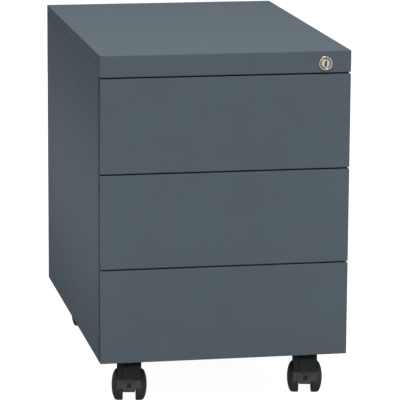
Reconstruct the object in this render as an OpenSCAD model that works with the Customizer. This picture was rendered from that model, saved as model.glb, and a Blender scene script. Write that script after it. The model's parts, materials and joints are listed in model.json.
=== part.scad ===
// Mobile drawer pedestal: a sheet-steel cabinet on four twin-wheel castors, with three
// full-overlay drawers on ball slides and a central lock at the top right.
// Millimetres. The origin is on the floor under the centre of the whole object, +X to the
// right seen from the front, +Y to the back, +Z up. Drawer 1 is the top one.

/* [Cabinet] */
// Width over the side panels
cab_w = 390; // [380:5:420]
// Depth from the drawer fronts to the back panel
cab_d = 590; // [580:5:640]
// Height of the body, without its castors
cab_h = 480; // [470:5:520]
// Thickness of the steel sheet
sheet_t = 1; // [0.8:0.1:1]
// Height of the top cover's side and back flanges
cover_drop = 19; // [17:1:22]
// Height of the fascia above the top drawer
fascia_h = 34; // [33:1:38]
// Width of the flanges folded in at the sides' front edges
front_flange = 18; // [16:1:19]
// Width of the flanges folded in at the sides' rear and bottom edges
edge_flange = 12; // [10:1:15]

/* [Drawer fronts] */
// Gap between neighbouring fronts
front_gap = 2.2; // [1.6:0.2:3]
// Thickness of a front, from its face to its back plate
front_t = 17.5; // [16:0.5:19]
// Clearance between a closed front and the carcass
front_clear = 1; // [0.8:0.1:1.5]
// Width of the finger recess behind each end of a front
grip_w = 23; // [20:1:26]
// Depth of the hem that stiffens the grip edge
grip_hem = 3.5; // [3:0.5:5]

/* [Drawer trays] */
// Length of a tray
tray_len = 496; // [480:2:500]
// Height of a tray's walls
tray_h = 100; // [90:1:105]
// Height of a tray's bottom above its front's lower edge
tray_lift = 10; // [9:1:12]

/* [Slides] */
// Length of a slide
slide_len = 480; // [460:5:490]
// Height of a slide's outer member
slide_h = 45; // [44:1:46]
// Height of a slide's centre line above its front's lower edge
slide_lift = 45; // [40:1:48]

/* [Lock] */
// Distance of the lock's axis from the right side
lock_inset = 40.5; // [39:0.5:43]
// Distance of the lock's axis below the top
lock_drop = 19.5; // [19:0.5:20.5]
// Radius of the lock's front ring
lock_ring_r = 11.4; // [11:0.1:12]
// How far the ring stands proud of the fascia
lock_proud = 1.8; // [1.4:0.1:2.4]
// Distance of the cam's pin from the lock's axis
cam_pin_radius = 8; // [7.8:0.1:8.2]

/* [Castors] */
// Height of the body above the floor
castor_h = 71.2; // [68:0.2:74]
// Diameter of a castor wheel
wheel_d = 50; // [48:1:50]
// Width over both wheels of a castor
castor_w = 55; // [51:1:56]
// Width of the gap between the two wheels
wheel_gap = 20.1; // [19.5:0.1:22]
// Distance of the wheels' axle in front of the swivel
castor_trail = 10; // [8:1:16]
// Angle by which the castors stand turned, clockwise from above
castor_turn = 10.5; // [0:0.5:20]
// Distance of the front castors' swivels from the sides
front_castor_inset = 54.5; // [52:0.5:60]
// Distance of the rear castors' swivels from the sides
rear_castor_inset = 59.5; // [52:0.5:62]
// Distance of the front castors' swivels behind the fronts
front_castor_set = 55; // [52:1:70]
// Distance of the rear castors' swivels behind the fronts
rear_castor_set = 527; // [515:1:535]

/* [Hidden] */
$fn = 64;
DRAWERS = [1, 2, 3];
CASTORS = ["front_left", "front_right", "rear_left", "rear_right"];

paint = "#525b62";
zinc = "#b4b7b8";
nickel = "#b9b4a8";
black = "#262626";

t = sheet_t;
half_w = cab_w / 2;
inner_w = half_w - t;
front_y = lock_proud / 2 - cab_d / 2;
back_y = front_y + cab_d;
carcass_y = front_y + front_t + front_clear;
floor_z = castor_h;
top_z = castor_h + cab_h;
fascia_z = top_z - fascia_h;
seam_gap = 0.6;
seam_z = top_z - cover_drop - seam_gap;
joggle_lap = 3;
edge_gap = 0.3;

// Fronts, trays and slides
front_h = (cab_h - fascia_h - 3 * front_gap) / 3;
pan_half = half_w - grip_w;
pan_lip = 10;
hem_w = 6;
open_half = half_w - front_flange;
slide_w = 12.8;
tray_half = open_half - slide_w;
tray_hem = 6;
pan_y = front_y + front_t - t;
tray_back_y = pan_y + t + tray_len;
slide_y = front_y + 22;
slide_t = 1.2;
middle_h = slide_h - 10;
inner_h = slide_h - 19.4;
base_z = floor_z + 2 * t;
base_front_h = 8.5;

// Uprights that carry the slides
upright_d = 32;
upright_front_y = front_y + 26;
upright_rear_y = slide_y + slide_len - upright_d - 8;
upright_top_z = seam_z - joggle_lap;

// Lock
lock_x = half_w - lock_inset;
lock_z = top_z - lock_drop;
housing_r = 9.5;
housing_len = 15;
plug_r = 7.5;
fit_gap = 0.05;
plug_recess = 0.5;
tail_w = 7;
cam_y = front_y + 16.5;
cam_t = 2.4;
cam_pin_r = 2;
pin_rest = cam_pin_radius * cos(45);
bar_y = carcass_y + t + 1.5;
bar_t = 2;
bar_x = half_w - 14;
bar_w = 8;
fork_x = lock_x + pin_rest - 2;
fork_h = 10;
fork_slot = 5.2;
bar_low_z = floor_z + 30;
catch_lift = 82;
catch_h = 12;
catch_t = 1.5;
catch_reach = 12;
tab_above = 1.5;
tab_h = 6;

// Castors
wheel_r = wheel_d / 2;
castor_plate_w = 42;
castor_plate_t = 2.5;
plate_top_z = floor_z + t;
plate_z = plate_top_z - castor_plate_t;
screw_pitch = 30;
rail_t = 2;
stem_r = 5;
stem_low_z = 47;
shoulder_r = 9;
hood_top_z = plate_z - 4.5;
boss_top_z = plate_z - 1.7;
web_half = wheel_gap / 2 - 0.4;
canopy_half = 18.8;
axle_r = 3;
axle_half = 22;

// Front's lower edge
function front_z(n) = floor_z + (3 - n) * (front_h + front_gap);
function castor_x(c) = half_w - (c < 2 ? front_castor_inset : rear_castor_inset);
function castor_y(c) = front_y + (c < 2 ? front_castor_set : rear_castor_set);
function castor_sign(c) = c % 2 == 0 ? -1 : 1;
// Points of an arc in a plane, about a centre
function arc(centre, r, from, to, steps) = [
    for (i = [0:steps])
        let (turn = from + (to - from) * i / steps) centre + r * [cos(turn), sin(turn)]
];

module span(low, high) {
    translate(low) cube(high - low);
}

module on_side(s) {
    mirror([s < 0 ? 1 : 0, 0, 0]) children();
}

module rod_x(at, r, len) {
    translate(at) rotate([0, 90, 0]) cylinder(h = len, r = r);
}

module rod_y(at, r, len) {
    translate(at) rotate([-90, 0, 0]) cylinder(h = len, r = r);
}

module rod_z(at, r, len) {
    translate(at) cylinder(h = len, r = r);
}

// Solid with a given outline in Y and Z, centred on X = 0
module along_x(outline, width) {
    rotate([90, 0, 90]) linear_extrude(height = width, center = true) polygon(outline);
}

// ---------- carcass ----------

module side_panel(s) {
    lap_z = seam_z - joggle_lap;
    rear_y = back_y - 2 * t;
    on_side(s) color(paint) {
        span([inner_w, carcass_y, floor_z], [half_w, back_y, seam_z]);
        span([inner_w - t, carcass_y, lap_z], [inner_w, rear_y, top_z - t]);
        span([open_half, carcass_y, floor_z], [inner_w, carcass_y + t, top_z - t]);
        span([inner_w - edge_flange, back_y - t, floor_z], [inner_w, back_y, seam_z]);
        span([inner_w - edge_flange, carcass_y + t, floor_z], [inner_w, rear_y, floor_z + t]);
    }
}

// Flat sheet that lies against the sides' rear flanges from the inside
module back_panel() {
    half = inner_w - edge_gap;
    color(paint) span([-half, back_y - 2 * t, floor_z], [half, back_y - t, top_z - t]);
}

module base_panel() {
    rear_y = back_y - 2 * t;
    lip_half = open_half - edge_gap;
    color(paint) difference() {
        union() {
            span([-inner_w, carcass_y + t, floor_z + t], [inner_w, rear_y, base_z]);
            span([-lip_half, carcass_y, floor_z], [lip_half, carcass_y + t, floor_z + base_front_h]);
            span([-lip_half, rear_y - t, base_z], [lip_half, rear_y, floor_z + base_front_h]);
        }
        castor_screw_holes();
    }
}

module top_cover() {
    color(paint) difference() {
        union() {
            span([-half_w, front_y, top_z - t], [half_w, back_y, top_z]);
            span([-half_w, front_y, fascia_z], [half_w, front_y + t, top_z]);
            span([-half_w, back_y - t, top_z - cover_drop], [half_w, back_y, top_z]);
            span([-inner_w, front_y + t, fascia_z], [inner_w, carcass_y, fascia_z + t]);
            for (s = [-1, 1]) on_side(s) {
                span([inner_w, front_y, top_z - cover_drop], [half_w, back_y, top_z]);
                span([inner_w, front_y, fascia_z], [half_w, carcass_y - edge_gap, top_z]);
            }
        }
        rod_y([lock_x, front_y - 1, lock_z], housing_r + 0.1, 4);
    }
}

module top_front_rail() {
    low_z = fascia_z + 3;
    web_y = upright_front_y + 6;
    depth = 22;
    color(zinc) {
        span([-open_half, web_y, low_z], [open_half, web_y + t, top_z - t]);
        span([-open_half, web_y, low_z], [open_half, web_y + depth, low_z + t]);
        span([-open_half, web_y, top_z - 2 * t], [open_half, web_y + depth, top_z - t]);
    }
}

module upright(s, y) {
    on_side(s) color(zinc) difference() {
        union() {
            span([open_half, y, base_z], [open_half + t, y + upright_d, upright_top_z]);
            span([open_half, y, base_z], [inner_w, y + t, upright_top_z]);
            span([open_half, y + upright_d - t, base_z], [inner_w, y + upright_d, upright_top_z]);
        }
        slide_screw_holes();
    }
}

// ---------- slides ----------

// C-section along Y on the right side: web at web_x, flanges reaching to flange_x
module slide_channel(web_x, flange_x, h, z, y, len) {
    low_x = min(web_x, flange_x);
    high_x = max(web_x, flange_x);
    web_low = web_x > flange_x ? web_x - slide_t : web_x;
    span([web_low, y, z - h / 2], [web_low + slide_t, y + len, z + h / 2]);
    span([low_x, y, z - h / 2], [high_x, y + len, z - h / 2 + slide_t]);
    span([low_x, y, z + h / 2 - slide_t], [high_x, y + len, z + h / 2]);
}

module slide_outers(s) {
    on_side(s) color(zinc) for (n = DRAWERS) difference() {
        slide_channel(open_half, open_half - 10.2, slide_h, front_z(n) + slide_lift, slide_y, slide_len);
        slide_screw_holes();
    }
}

module slide_middles(n) {
    z = front_z(n) + slide_lift;
    color(zinc) for (s = [-1, 1]) on_side(s)
        slide_channel(open_half - 3.2, open_half - 11.2, middle_h, z, slide_y, slide_len - 5);
}

module slide_inners(n) {
    z = front_z(n) + slide_lift;
    color(zinc) for (s = [-1, 1]) on_side(s)
        slide_channel(tray_half, tray_half + 7.3, inner_h, z, slide_y, slide_len - 10);
}

module each_slide_screw() {
    for (n = DRAWERS) for (y = [upright_front_y, upright_rear_y])
        translate([0, y + upright_d / 2, front_z(n) + slide_lift]) children();
}

module slide_screw_holes() {
    each_slide_screw() rod_x([open_half - 3, 0, 0], 2.1, 6);
}

module slide_screws() {
    head_t = 1.1;
    head_x = open_half - slide_t;
    color(zinc) for (s = [-1, 1]) on_side(s) each_slide_screw() {
        rod_x([head_x - head_t, 0, 0], 3.6, head_t);
        rod_x([head_x, 0, 0], 2, 5);
    }
}

// ---------- drawers ----------

module drawer_front(n) {
    z = front_z(n);
    top = z + front_h;
    color(paint) {
        span([-half_w, front_y, z], [half_w, front_y + t, top]);
        span([-half_w, front_y + t, z], [half_w, pan_y + t, z + t]);
        span([-half_w, front_y + t, top - t], [half_w, pan_y + t, top]);
        for (s = [-1, 1]) on_side(s) {
            span([inner_w, front_y, z], [half_w, front_y + grip_hem, top]);
            span([half_w - hem_w, front_y + grip_hem - t, z + t], [half_w, front_y + grip_hem, top - t]);
        }
    }
}

module front_pan(n) {
    z = front_z(n) + t;
    top = front_z(n) + front_h - t;
    color(paint) {
        span([-pan_half - pan_lip, pan_y, z], [pan_half + pan_lip, pan_y + t, top]);
        for (s = [-1, 1]) on_side(s)
            span([pan_half - t, front_y + t, z], [pan_half, pan_y, top]);
    }
}

module drawer_tray(n) {
    z = front_z(n) + tray_lift;
    top = z + tray_h;
    y = pan_y + t;
    color(paint) {
        span([-tray_half, y, z], [tray_half, tray_back_y, z + t]);
        span([-tray_half, tray_back_y - t, z], [tray_half, tray_back_y, top]);
        for (s = [-1, 1]) on_side(s) {
            span([tray_half - t, y, z], [tray_half, tray_back_y, top]);
            span([tray_half - tray_hem, y, top - t], [tray_half, tray_back_y, top]);
            span([tray_half - tray_hem, y, z], [tray_half, y + t, top]);
        }
    }
}

// Bracket on the tray's right side that the lock bar's tab stands in front of
module lock_catch(n) {
    z = front_z(n) + catch_lift;
    y = bar_y + bar_t + 1.5;
    color(zinc) {
        span([tray_half, y, z - catch_h / 2], [tray_half + catch_t, y + 30, z + catch_h / 2]);
        span([tray_half, y, z - catch_h / 2], [tray_half + catch_reach, y + catch_t, z + catch_h / 2]);
    }
}

module front_buffers() {
    buffer_t = 0.6;
    x = open_half + 3;
    color(black) for (s = [-1, 1]) on_side(s) for (n = DRAWERS) for (lift = [15, front_h - 15])
        rod_y([x, carcass_y - buffer_t, front_z(n) + lift], 2.2, buffer_t);
}

// ---------- lock ----------

module at_lock() {
    translate([lock_x, 0, lock_z]) children();
}

module lock_housing() {
    chamfer = 0.6;
    ring_y = front_y - lock_proud;
    color(nickel) at_lock() difference() {
        union() {
            translate([0, ring_y, 0]) rotate([-90, 0, 0])
                cylinder(h = chamfer, r1 = lock_ring_r - chamfer, r2 = lock_ring_r);
            rod_y([0, ring_y + chamfer, 0], lock_ring_r, lock_proud - chamfer);
            rod_y([0, front_y, 0], housing_r, housing_len);
        }
        rod_y([0, ring_y - 1, 0], plug_r, lock_proud + housing_len + 2);
    }
}

module lock_nut() {
    nut_t = 4;
    across_flats = 22;
    color(zinc) at_lock() translate([0, front_y + t, 0]) rotate([-90, 0, 0]) difference() {
        rotate(30) cylinder(h = nut_t, r = across_flats / 2 / cos(30), $fn = 6);
        translate([0, 0, -1]) cylinder(h = nut_t + 2, r = housing_r);
    }
}

module lock_plug() {
    r = plug_r - fit_gap;
    face_y = front_y - lock_proud + plug_recess;
    tail_y = front_y + housing_len;
    slot_depth = 11;
    color(nickel) at_lock() difference() {
        union() {
            rod_y([0, face_y, 0], r, tail_y - face_y);
            span([-tail_w / 2, tail_y, -tail_w / 2], [tail_w / 2, cam_y + cam_t, tail_w / 2]);
        }
        span([-0.5, face_y - 1, 1.2], [1.6, face_y + slot_depth, 4.8]);
        span([-1.4, face_y - 1, -4.6], [0.8, face_y + slot_depth, 2.2]);
        rod_y([0, cam_y + cam_t - 6, 0], 1.6, 8);
    }
}

// Flat lever with a pin, at rest 45 degrees above level
module lock_cam() {
    hub_r = 7;
    tip_r = 3.6;
    color(zinc) at_lock() difference() {
        union() {
            rod_y([0, cam_y, 0], hub_r, cam_t);
            rotate([0, -45, 0]) {
                span([0, cam_y, -tip_r], [cam_pin_radius, cam_y + cam_t, tip_r]);
                rod_y([cam_pin_radius, cam_y, 0], tip_r, cam_t);
                rod_y([cam_pin_radius, cam_y, 0], cam_pin_r, bar_y + bar_t + 1 - cam_y);
            }
        }
        span([-tail_w / 2, cam_y - 1, -tail_w / 2], [tail_w / 2, cam_y + cam_t + 1, tail_w / 2]);
    }
}

module lock_cam_screw() {
    head_y = cam_y + cam_t;
    color(zinc) at_lock() difference() {
        union() {
            rod_y([0, head_y - 5.5, 0], 1.6, 5.5);
            rod_y([0, head_y, 0], 3.4, 1.8);
        }
        span([-2.4, head_y + 1.2, -0.4], [2.4, head_y + 3, 0.4]);
    }
}

// Flat bar behind the right front flange, with a fork for the cam's pin and a tab a drawer
module lock_bar() {
    fork_z = lock_z + pin_rest;
    slot_end_x = lock_x + cam_pin_radius + cam_pin_r + 1.5;
    color(zinc) difference() {
        union() {
            span([bar_x, bar_y, bar_low_z], [bar_x + bar_w, bar_y + bar_t, fork_z + fork_h / 2]);
            span([fork_x, bar_y, fork_z - fork_h / 2], [bar_x + bar_w, bar_y + bar_t, fork_z + fork_h / 2]);
            for (n = DRAWERS) {
                low = front_z(n) + catch_lift + catch_h / 2 + tab_above;
                span([open_half - 7.5, bar_y, low], [bar_x, bar_y + bar_t, low + tab_h]);
            }
        }
        translate([0, bar_y, fork_z])
            span([fork_x - 1, -1, -fork_slot / 2], [slot_end_x, bar_t + 1, fork_slot / 2]);
    }
}

module lock_bar_guides() {
    play = 0.4;
    wall = 2;
    low_x = bar_x - play;
    high_x = bar_x + bar_w + play;
    back = upright_front_y;
    h = 12;
    color(black) for (n = DRAWERS) {
        z = front_z(n) + 112;
        span([low_x - wall, bar_y + bar_t + play, z], [high_x + wall, back, z + h]);
        span([low_x - wall, bar_y - 0.8, z], [low_x, back, z + h]);
        span([high_x, bar_y - 0.8, z], [high_x + wall, back, z + h]);
    }
}

// ---------- castors ----------

// Places its children on the floor under one castor's swivel
module at_castor_stem(c) {
    translate([castor_sign(c) * castor_x(c), castor_y(c), 0]) children();
}

// Places its children on the floor under one castor's axle, turned as the castor stands
module at_castor(c) {
    at_castor_stem(c) rotate([0, 0, -castor_turn]) translate([0, -castor_trail, 0]) children();
}

module each_castor_stem() {
    for (c = [0:3]) at_castor_stem(c) children();
}

module each_castor_screw() {
    each_castor_stem() for (x = [-1, 1]) for (y = [-1, 1])
        translate([x * screw_pitch / 2, y * screw_pitch / 2, 0]) children();
}

module castor_screw_holes() {
    each_castor_screw() rod_z([0, 0, plate_z - 1], 2.6, 9);
}

// Two flat bars inside the base that the castors are screwed to
module castor_rails() {
    half = open_half - 5;
    color(zinc) difference() {
        for (c = [0, 2]) {
            y = castor_y(c);
            span([-half, y - 26, base_z], [half, y + 26, base_z + rail_t]);
        }
        castor_screw_holes();
    }
}

module castor_plates() {
    half = castor_plate_w / 2;
    color(zinc) difference() {
        each_castor_stem() span([-half, -half, plate_z], [half, half, plate_top_z]);
        each_castor_stem() rod_z([0, 0, plate_z - 1], stem_r, castor_plate_t + 2);
        castor_screw_holes();
    }
}

module castor_stems() {
    shoulder_t = 1;
    color(zinc) each_castor_stem() {
        rod_z([0, 0, stem_low_z], stem_r, plate_top_z - stem_low_z);
        rod_z([0, 0, plate_z - shoulder_t], shoulder_r, shoulder_t);
    }
}

module castor_screws() {
    head_t = 2;
    color(zinc) each_castor_screw() {
        rod_z([0, 0, plate_z - head_t], 4, head_t);
        rod_z([0, 0, plate_z], 2.5, 6.8);
    }
}

// Web between the wheels with a body over it, side wings, fenders over the wheels and a boss
module castor_hood(c) {
    fender_r = wheel_r + 3;
    clear_r = wheel_r + 1.2;
    web_front = -(wheel_r + 2.5);
    body_front = web_front + 2;
    wing_front = -23.5;
    rear = castor_trail + 16;
    step_z = 39.5;
    web_low_z = 19;
    skirt_half = 19.6;
    skirt_z = 24;
    round_r = 8;
    wing_r = 5;
    rear_arc = arc([rear - round_r, hood_top_z - round_r], round_r, 90, 0, 6);
    foot = [[rear, step_z + 8], [rear - 6, step_z]];
    body_arc = arc([body_front + round_r, hood_top_z - round_r], round_r, 180, 90, 6);
    wing_arc = arc([wing_front + wing_r, hood_top_z - wing_r], wing_r, 180, 90, 6);
    color(black) at_castor(c) difference() {
        union() {
            along_x(concat([[body_front, step_z]], body_arc, rear_arc, foot), 2 * web_half);
            along_x(concat([[wing_front, step_z]], wing_arc, rear_arc, foot), 2 * canopy_half);
            intersection() {
                rod_x([-canopy_half, 0, wheel_r], fender_r, 2 * canopy_half);
                span([-canopy_half, -fender_r, step_z], [canopy_half, fender_r, hood_top_z]);
            }
            intersection() {
                rod_x([-web_half, 0, wheel_r], fender_r, 2 * web_half);
                span([-web_half, -fender_r, web_low_z], [web_half, fender_r, step_z + 8]);
            }
            span([-web_half, web_front, web_low_z], [web_half, -10, step_z]);
            span([-skirt_half, web_front, skirt_z], [skirt_half, -10, step_z]);
            rod_z([0, castor_trail, step_z + 4], 14, boss_top_z - step_z - 4);
        }
        span([-3, -fender_r, 26.5], [3, web_front + 6, 33.5]);
        span([-7, -fender_r, step_z - 3], [7, web_front + 1.2, step_z - 1]);
        rod_x([-web_half - 1, 0, wheel_r], axle_r, 2 * web_half + 2);
        rod_z([0, castor_trail, stem_low_z - 0.5], stem_r + fit_gap, boss_top_z);
        for (s = [-1, 1]) on_side(s)
            rod_x([web_half, 0, wheel_r], clear_r, 11);
    }
}

module castor_axle(c) {
    color(zinc) at_castor(c) rod_x([-axle_half, 0, wheel_r], axle_r, 2 * axle_half);
}

// Wheel on the +X side of its castor's web: flat tread, domed outer face, hollow inner face
module wheel() {
    a0 = wheel_gap / 2;
    a2 = castor_w / 2;
    dome = 8.5;
    a1 = a2 - dome;
    edge = 1.5;
    hub_r = 8;
    hollow_r = wheel_r - 3.5;
    hollow_a = a1 - 2;
    bore_a = axle_half + 0.5;
    dome_arc = [for (i = [0:10]) [wheel_r * cos(i * 9), a1 + dome * sin(i * 9)]];
    outline = concat(
        [[axle_r + fit_gap, a0], [hub_r, a0], [hub_r, hollow_a], [hollow_r, hollow_a]],
        [[hollow_r, a0], [wheel_r - edge, a0], [wheel_r, a0 + edge]],
        [for (p = dome_arc) if (p[0] > 0.01) p],
        [[0, a2], [0, bore_a], [axle_r + fit_gap, bore_a]]
    );
    translate([0, 0, wheel_r]) rotate([0, 90, 0]) rotate_extrude() polygon(outline);
}

module castor_wheel(c, s) {
    color(black) at_castor(c) on_side(s) wheel();
}

for (s = [-1, 1]) {
    side = s < 0 ? "left" : "right";
    side_panel(s);
    upright(s, upright_front_y);
    upright(s, upright_rear_y);
    slide_outers(s);
}
back_panel();
base_panel();
top_cover();
top_front_rail();
slide_screws();
castor_rails();
castor_plates();
castor_stems();
castor_screws();
front_buffers();
lock_housing();
lock_nut();
lock_bar_guides();
lock_plug();
lock_cam();
lock_cam_screw();
lock_bar();
for (n = DRAWERS) {
    drawer_front(n);
    front_pan(n);
    drawer_tray(n);
    slide_inners(n);
    slide_middles(n);
    lock_catch(n);
}
for (c = [0:3]) {
    castor_hood(c);
    castor_axle(c);
    castor_wheel(c, castor_sign(c));
    castor_wheel(c, -castor_sign(c));
}
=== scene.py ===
import json
import math

import bmesh
import bpy
from mathutils import Matrix, Vector

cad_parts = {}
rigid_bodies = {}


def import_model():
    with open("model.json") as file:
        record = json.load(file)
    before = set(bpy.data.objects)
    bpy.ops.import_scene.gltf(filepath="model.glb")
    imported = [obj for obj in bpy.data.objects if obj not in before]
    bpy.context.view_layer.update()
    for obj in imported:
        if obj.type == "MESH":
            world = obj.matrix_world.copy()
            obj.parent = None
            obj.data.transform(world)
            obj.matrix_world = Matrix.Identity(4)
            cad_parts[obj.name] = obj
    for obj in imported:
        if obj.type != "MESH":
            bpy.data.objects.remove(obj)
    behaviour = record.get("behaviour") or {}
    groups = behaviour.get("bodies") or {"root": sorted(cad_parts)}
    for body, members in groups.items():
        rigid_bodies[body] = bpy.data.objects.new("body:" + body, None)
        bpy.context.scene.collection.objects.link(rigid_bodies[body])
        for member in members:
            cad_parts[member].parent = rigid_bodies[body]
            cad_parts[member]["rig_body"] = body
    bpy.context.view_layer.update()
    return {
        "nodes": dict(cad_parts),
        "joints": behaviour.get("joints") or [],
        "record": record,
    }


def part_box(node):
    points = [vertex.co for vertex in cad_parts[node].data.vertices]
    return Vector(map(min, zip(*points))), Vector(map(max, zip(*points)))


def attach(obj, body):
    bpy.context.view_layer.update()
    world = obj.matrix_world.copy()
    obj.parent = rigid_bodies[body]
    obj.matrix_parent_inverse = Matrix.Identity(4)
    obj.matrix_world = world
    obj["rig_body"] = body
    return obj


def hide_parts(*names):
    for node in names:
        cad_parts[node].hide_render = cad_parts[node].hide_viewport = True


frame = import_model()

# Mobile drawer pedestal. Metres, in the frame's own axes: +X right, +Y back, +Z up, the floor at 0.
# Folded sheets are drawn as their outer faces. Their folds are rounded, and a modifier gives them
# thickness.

MM = 0.001
X, Y, Z = 0, 1, 2
SIDES = {"left": -1, "right": 1}
DRAWERS = (1, 2, 3)
CASTORS = ("front_left", "front_right", "rear_left", "rear_right")

# Sheet metal: its thickness, the outer radius of its folds, the easing of a cut edge, the notch at
# a corner, the cover's skirt and the seam under it, flanges, grips and hems, and spot welds
SHEET = 1.0 * MM
FOLD = 1.3 * MM
RAW_EDGE = 0.14 * MM
RELIEF = 1.5 * MM
COVER_DROP = 19 * MM
SEAM = 0.6 * MM
EDGE_FLANGE = 12 * MM
GRIP_W = 23 * MM
GRIP_HEM = 3.5 * MM
HEM_W = 6 * MM
TRAY_HEM = 6 * MM
WELD_R = 2.8 * MM
WELD_DEPTH = 0.35 * MM
WELDS = 7

# Slides
SLIDE_H = 45 * MM
SLIDE_T = 1.2 * MM
RACE = 2.2 * MM
CAGE_T = 0.5 * MM
BALL_PITCH = 13 * MM

# Lock
LOCK_RING_R = 11.4 * MM
LOCK_PROUD = 1.8 * MM
HOUSING_R = 9.5 * MM
HOUSING_LEN = 16.8 * MM
PLUG_R = 7.45 * MM

# Castors, each in its own axes: +X along the axle, -Y to its front, the axle above the origin
WHEEL_R = 25 * MM
WHEEL_IN = 10.05 * MM
WHEEL_OUT = 27.5 * MM
TREAD_OUT = 19 * MM
WEB_HALF = 9.65 * MM
WING_HALF = 18.8 * MM
STEP_Z = 39.5 * MM
SKIRT_HALF = 19.6 * MM
SKIRT_Z = 24 * MM
PLATE_HALF = 21 * MM
SCREW_SET = 15 * MM

# Places and joints taken from the frame
CARCASS_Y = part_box("side_panel_right")[0].y
PLATE_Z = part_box("castor_plates")[0].z
HOOD_TOP = PLATE_Z - 4.5 * MM
BOSS_TOP = PLATE_Z - 1.7 * MM
JOINTS = {joint["name"]: joint for joint in frame["joints"]}
LOCK_AT = Vector(JOINTS["lock_turn"]["pos_m"])


def turn_about(axis, degrees):
    return Matrix.Rotation(math.radians(degrees), 4, axis)


# The lock's own axes: +Z into the cabinet from the fascia's face
LOCK_PLACE = Matrix.Translation(LOCK_AT) @ turn_about("X", -90)


def slide_centre(n):
    lo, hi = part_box(f"slide_middles_{n}")
    return (lo.z + hi.z) / 2


# ---------- materials ----------


class Shader:
    """A material's node tree, with short calls for the nodes that the finishes here use."""

    def __init__(self, name, **fixed):
        self.material = bpy.data.materials.new(name)
        self.material.use_nodes = True
        self.tree = self.material.node_tree
        self.surface = self.tree.nodes["Principled BSDF"]
        for socket, value in fixed.items():
            self.surface.inputs[socket.replace("_", " ")].default_value = value
        self.place = self.node("ShaderNodeTexCoord").outputs["Object"]

    def node(self, kind, **values):
        made = self.tree.nodes.new(kind)
        for key, value in values.items():
            setattr(made, key, value)
        return made

    def link(self, out, into):
        self.tree.links.new(out, into)

    def noise(self, per_metre, detail=2.0, stretch=(1, 1, 1)):
        """Noise of about that many features a metre, from 0 to 1."""
        sized = self.node("ShaderNodeMapping")
        sized.inputs["Scale"].default_value = [per_metre * s for s in stretch]
        self.link(self.place, sized.inputs["Vector"])
        made = self.node("ShaderNodeTexNoise")
        made.inputs["Scale"].default_value = 1.0
        made.inputs["Detail"].default_value = detail
        self.link(sized.outputs["Vector"], made.inputs["Vector"])
        return made.outputs["Fac"]

    def ramp(self, value, low_colour, high_colour, start=0.3, end=0.7):
        made = self.node("ShaderNodeValToRGB")
        first, last = made.color_ramp.elements
        first.position, first.color = start, (*low_colour, 1)
        last.position, last.color = end, (*high_colour, 1)
        self.link(value, made.inputs["Fac"])
        return made.outputs["Color"]

    def between(self, value, low_value, high_value, start=0.3, end=0.7):
        made = self.node("ShaderNodeMapRange")
        made.inputs["From Min"].default_value = start
        made.inputs["From Max"].default_value = end
        made.inputs["To Min"].default_value = low_value
        made.inputs["To Max"].default_value = high_value
        self.link(value, made.inputs["Value"])
        return made.outputs["Result"]

    def bump(self, value, height, normal=None):
        made = self.node("ShaderNodeBump")
        made.inputs["Distance"].default_value = height
        self.link(value, made.inputs["Height"])
        if normal:
            self.link(normal, made.inputs["Normal"])
        return made.outputs["Normal"]

    def finish(self, colour, roughness, normal):
        self.link(colour, self.surface.inputs["Base Color"])
        self.link(roughness, self.surface.inputs["Roughness"])
        self.link(normal, self.surface.inputs["Normal"])
        return self.material


def scaled(colour, share):
    return tuple(c * share for c in colour)


def powder_coat(name, colour):
    """Fine matt powder coat: a slight orange peel, a finer grain in it, and a little mottling."""
    shade = Shader(name, IOR=1.5, Specular_IOR_Level=0.08)
    mottle = shade.noise(22, detail=3)
    peel = shade.noise(520)
    grain = shade.noise(2600, detail=1)
    normal = shade.bump(grain, 0.012 * MM, shade.bump(peel, 0.03 * MM))
    return shade.finish(
        shade.ramp(mottle, scaled(colour, 0.975), scaled(colour, 1.025)),
        shade.between(peel, 0.82, 0.9),
        normal,
    )


def zinc_plate(name, colour):
    """Bright zinc on cold-rolled steel: faint cloudy patches and rolling lines."""
    shade = Shader(name, Metallic=1.0)
    cloud = shade.noise(45, detail=4)
    lines = shade.noise(60, detail=2, stretch=(12, 0.4, 12))
    return shade.finish(
        shade.ramp(cloud, scaled(colour, 0.92), scaled(colour, 1.03)),
        shade.between(cloud, 0.42, 0.35),
        shade.bump(lines, 0.01 * MM),
    )


def nickel_plate(name, colour):
    """Polished nickel with fine turning marks and a few duller patches."""
    shade = Shader(name, Metallic=1.0)
    patch = shade.noise(260, detail=3)
    marks = shade.noise(3200, detail=1)
    return shade.finish(
        shade.ramp(patch, scaled(colour, 0.88), scaled(colour, 1.04)),
        shade.between(patch, 0.3, 0.2),
        shade.bump(marks, 0.003 * MM),
    )


def moulded(name, colour, roughness, grain_height):
    """Moulded plastic or rubber: a fine spark-eroded grain."""
    shade = Shader(name, IOR=1.5)
    cloud = shade.noise(70, detail=3)
    grain = shade.noise(1900, detail=2)
    return shade.finish(
        shade.ramp(cloud, scaled(colour, 0.85), scaled(colour, 1.15)),
        shade.between(grain, roughness - 0.05, roughness + 0.05),
        shade.bump(grain, grain_height),
    )


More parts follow.
